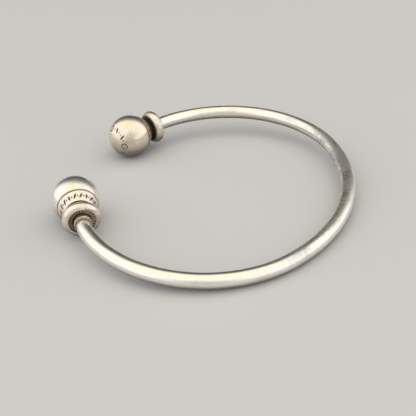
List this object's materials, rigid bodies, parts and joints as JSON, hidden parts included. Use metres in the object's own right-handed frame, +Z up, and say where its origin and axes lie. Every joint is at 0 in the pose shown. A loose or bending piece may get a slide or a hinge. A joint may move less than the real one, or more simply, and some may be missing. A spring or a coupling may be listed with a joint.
{
  "type": "torque bangle",
  "caption": "Open oval torque bangle of round silver bar with a ferrule, a rolled collar, a tapered base ring and a ball at each end.",
  "frame": {"origin": "on the surface that the bangle rests on, under the middle of its outline seen from above", "axes": "+Z up, +X towards the closed back, -X towards the opening, Y along the long way of the oval"},
  "size_m": [0.0498, 0.0572, 0.0082],
  "materials": {
    "bar_silver": "polished sterling silver with light tarnish",
    "ferrule_silver": "polished sterling silver with warm tarnish",
    "collar_silver": "polished sterling silver, dark oxide in the marks",
    "base_ring_silver": "polished sterling silver, dark oxide in the engraving",
    "ball_silver": "polished sterling silver with light tarnish"
  },
  "bodies": {
    "root": {"bar": "bar_silver", "ferrule_1": "ferrule_silver", "ferrule_2": "ferrule_silver", "collar_1": "collar_silver", "collar_2": "collar_silver", "base_ring_1": "base_ring_silver", "base_ring_2": "base_ring_silver", "ball_1": "ball_silver", "ball_2": "ball_silver"}
  },
  "joints": []
}
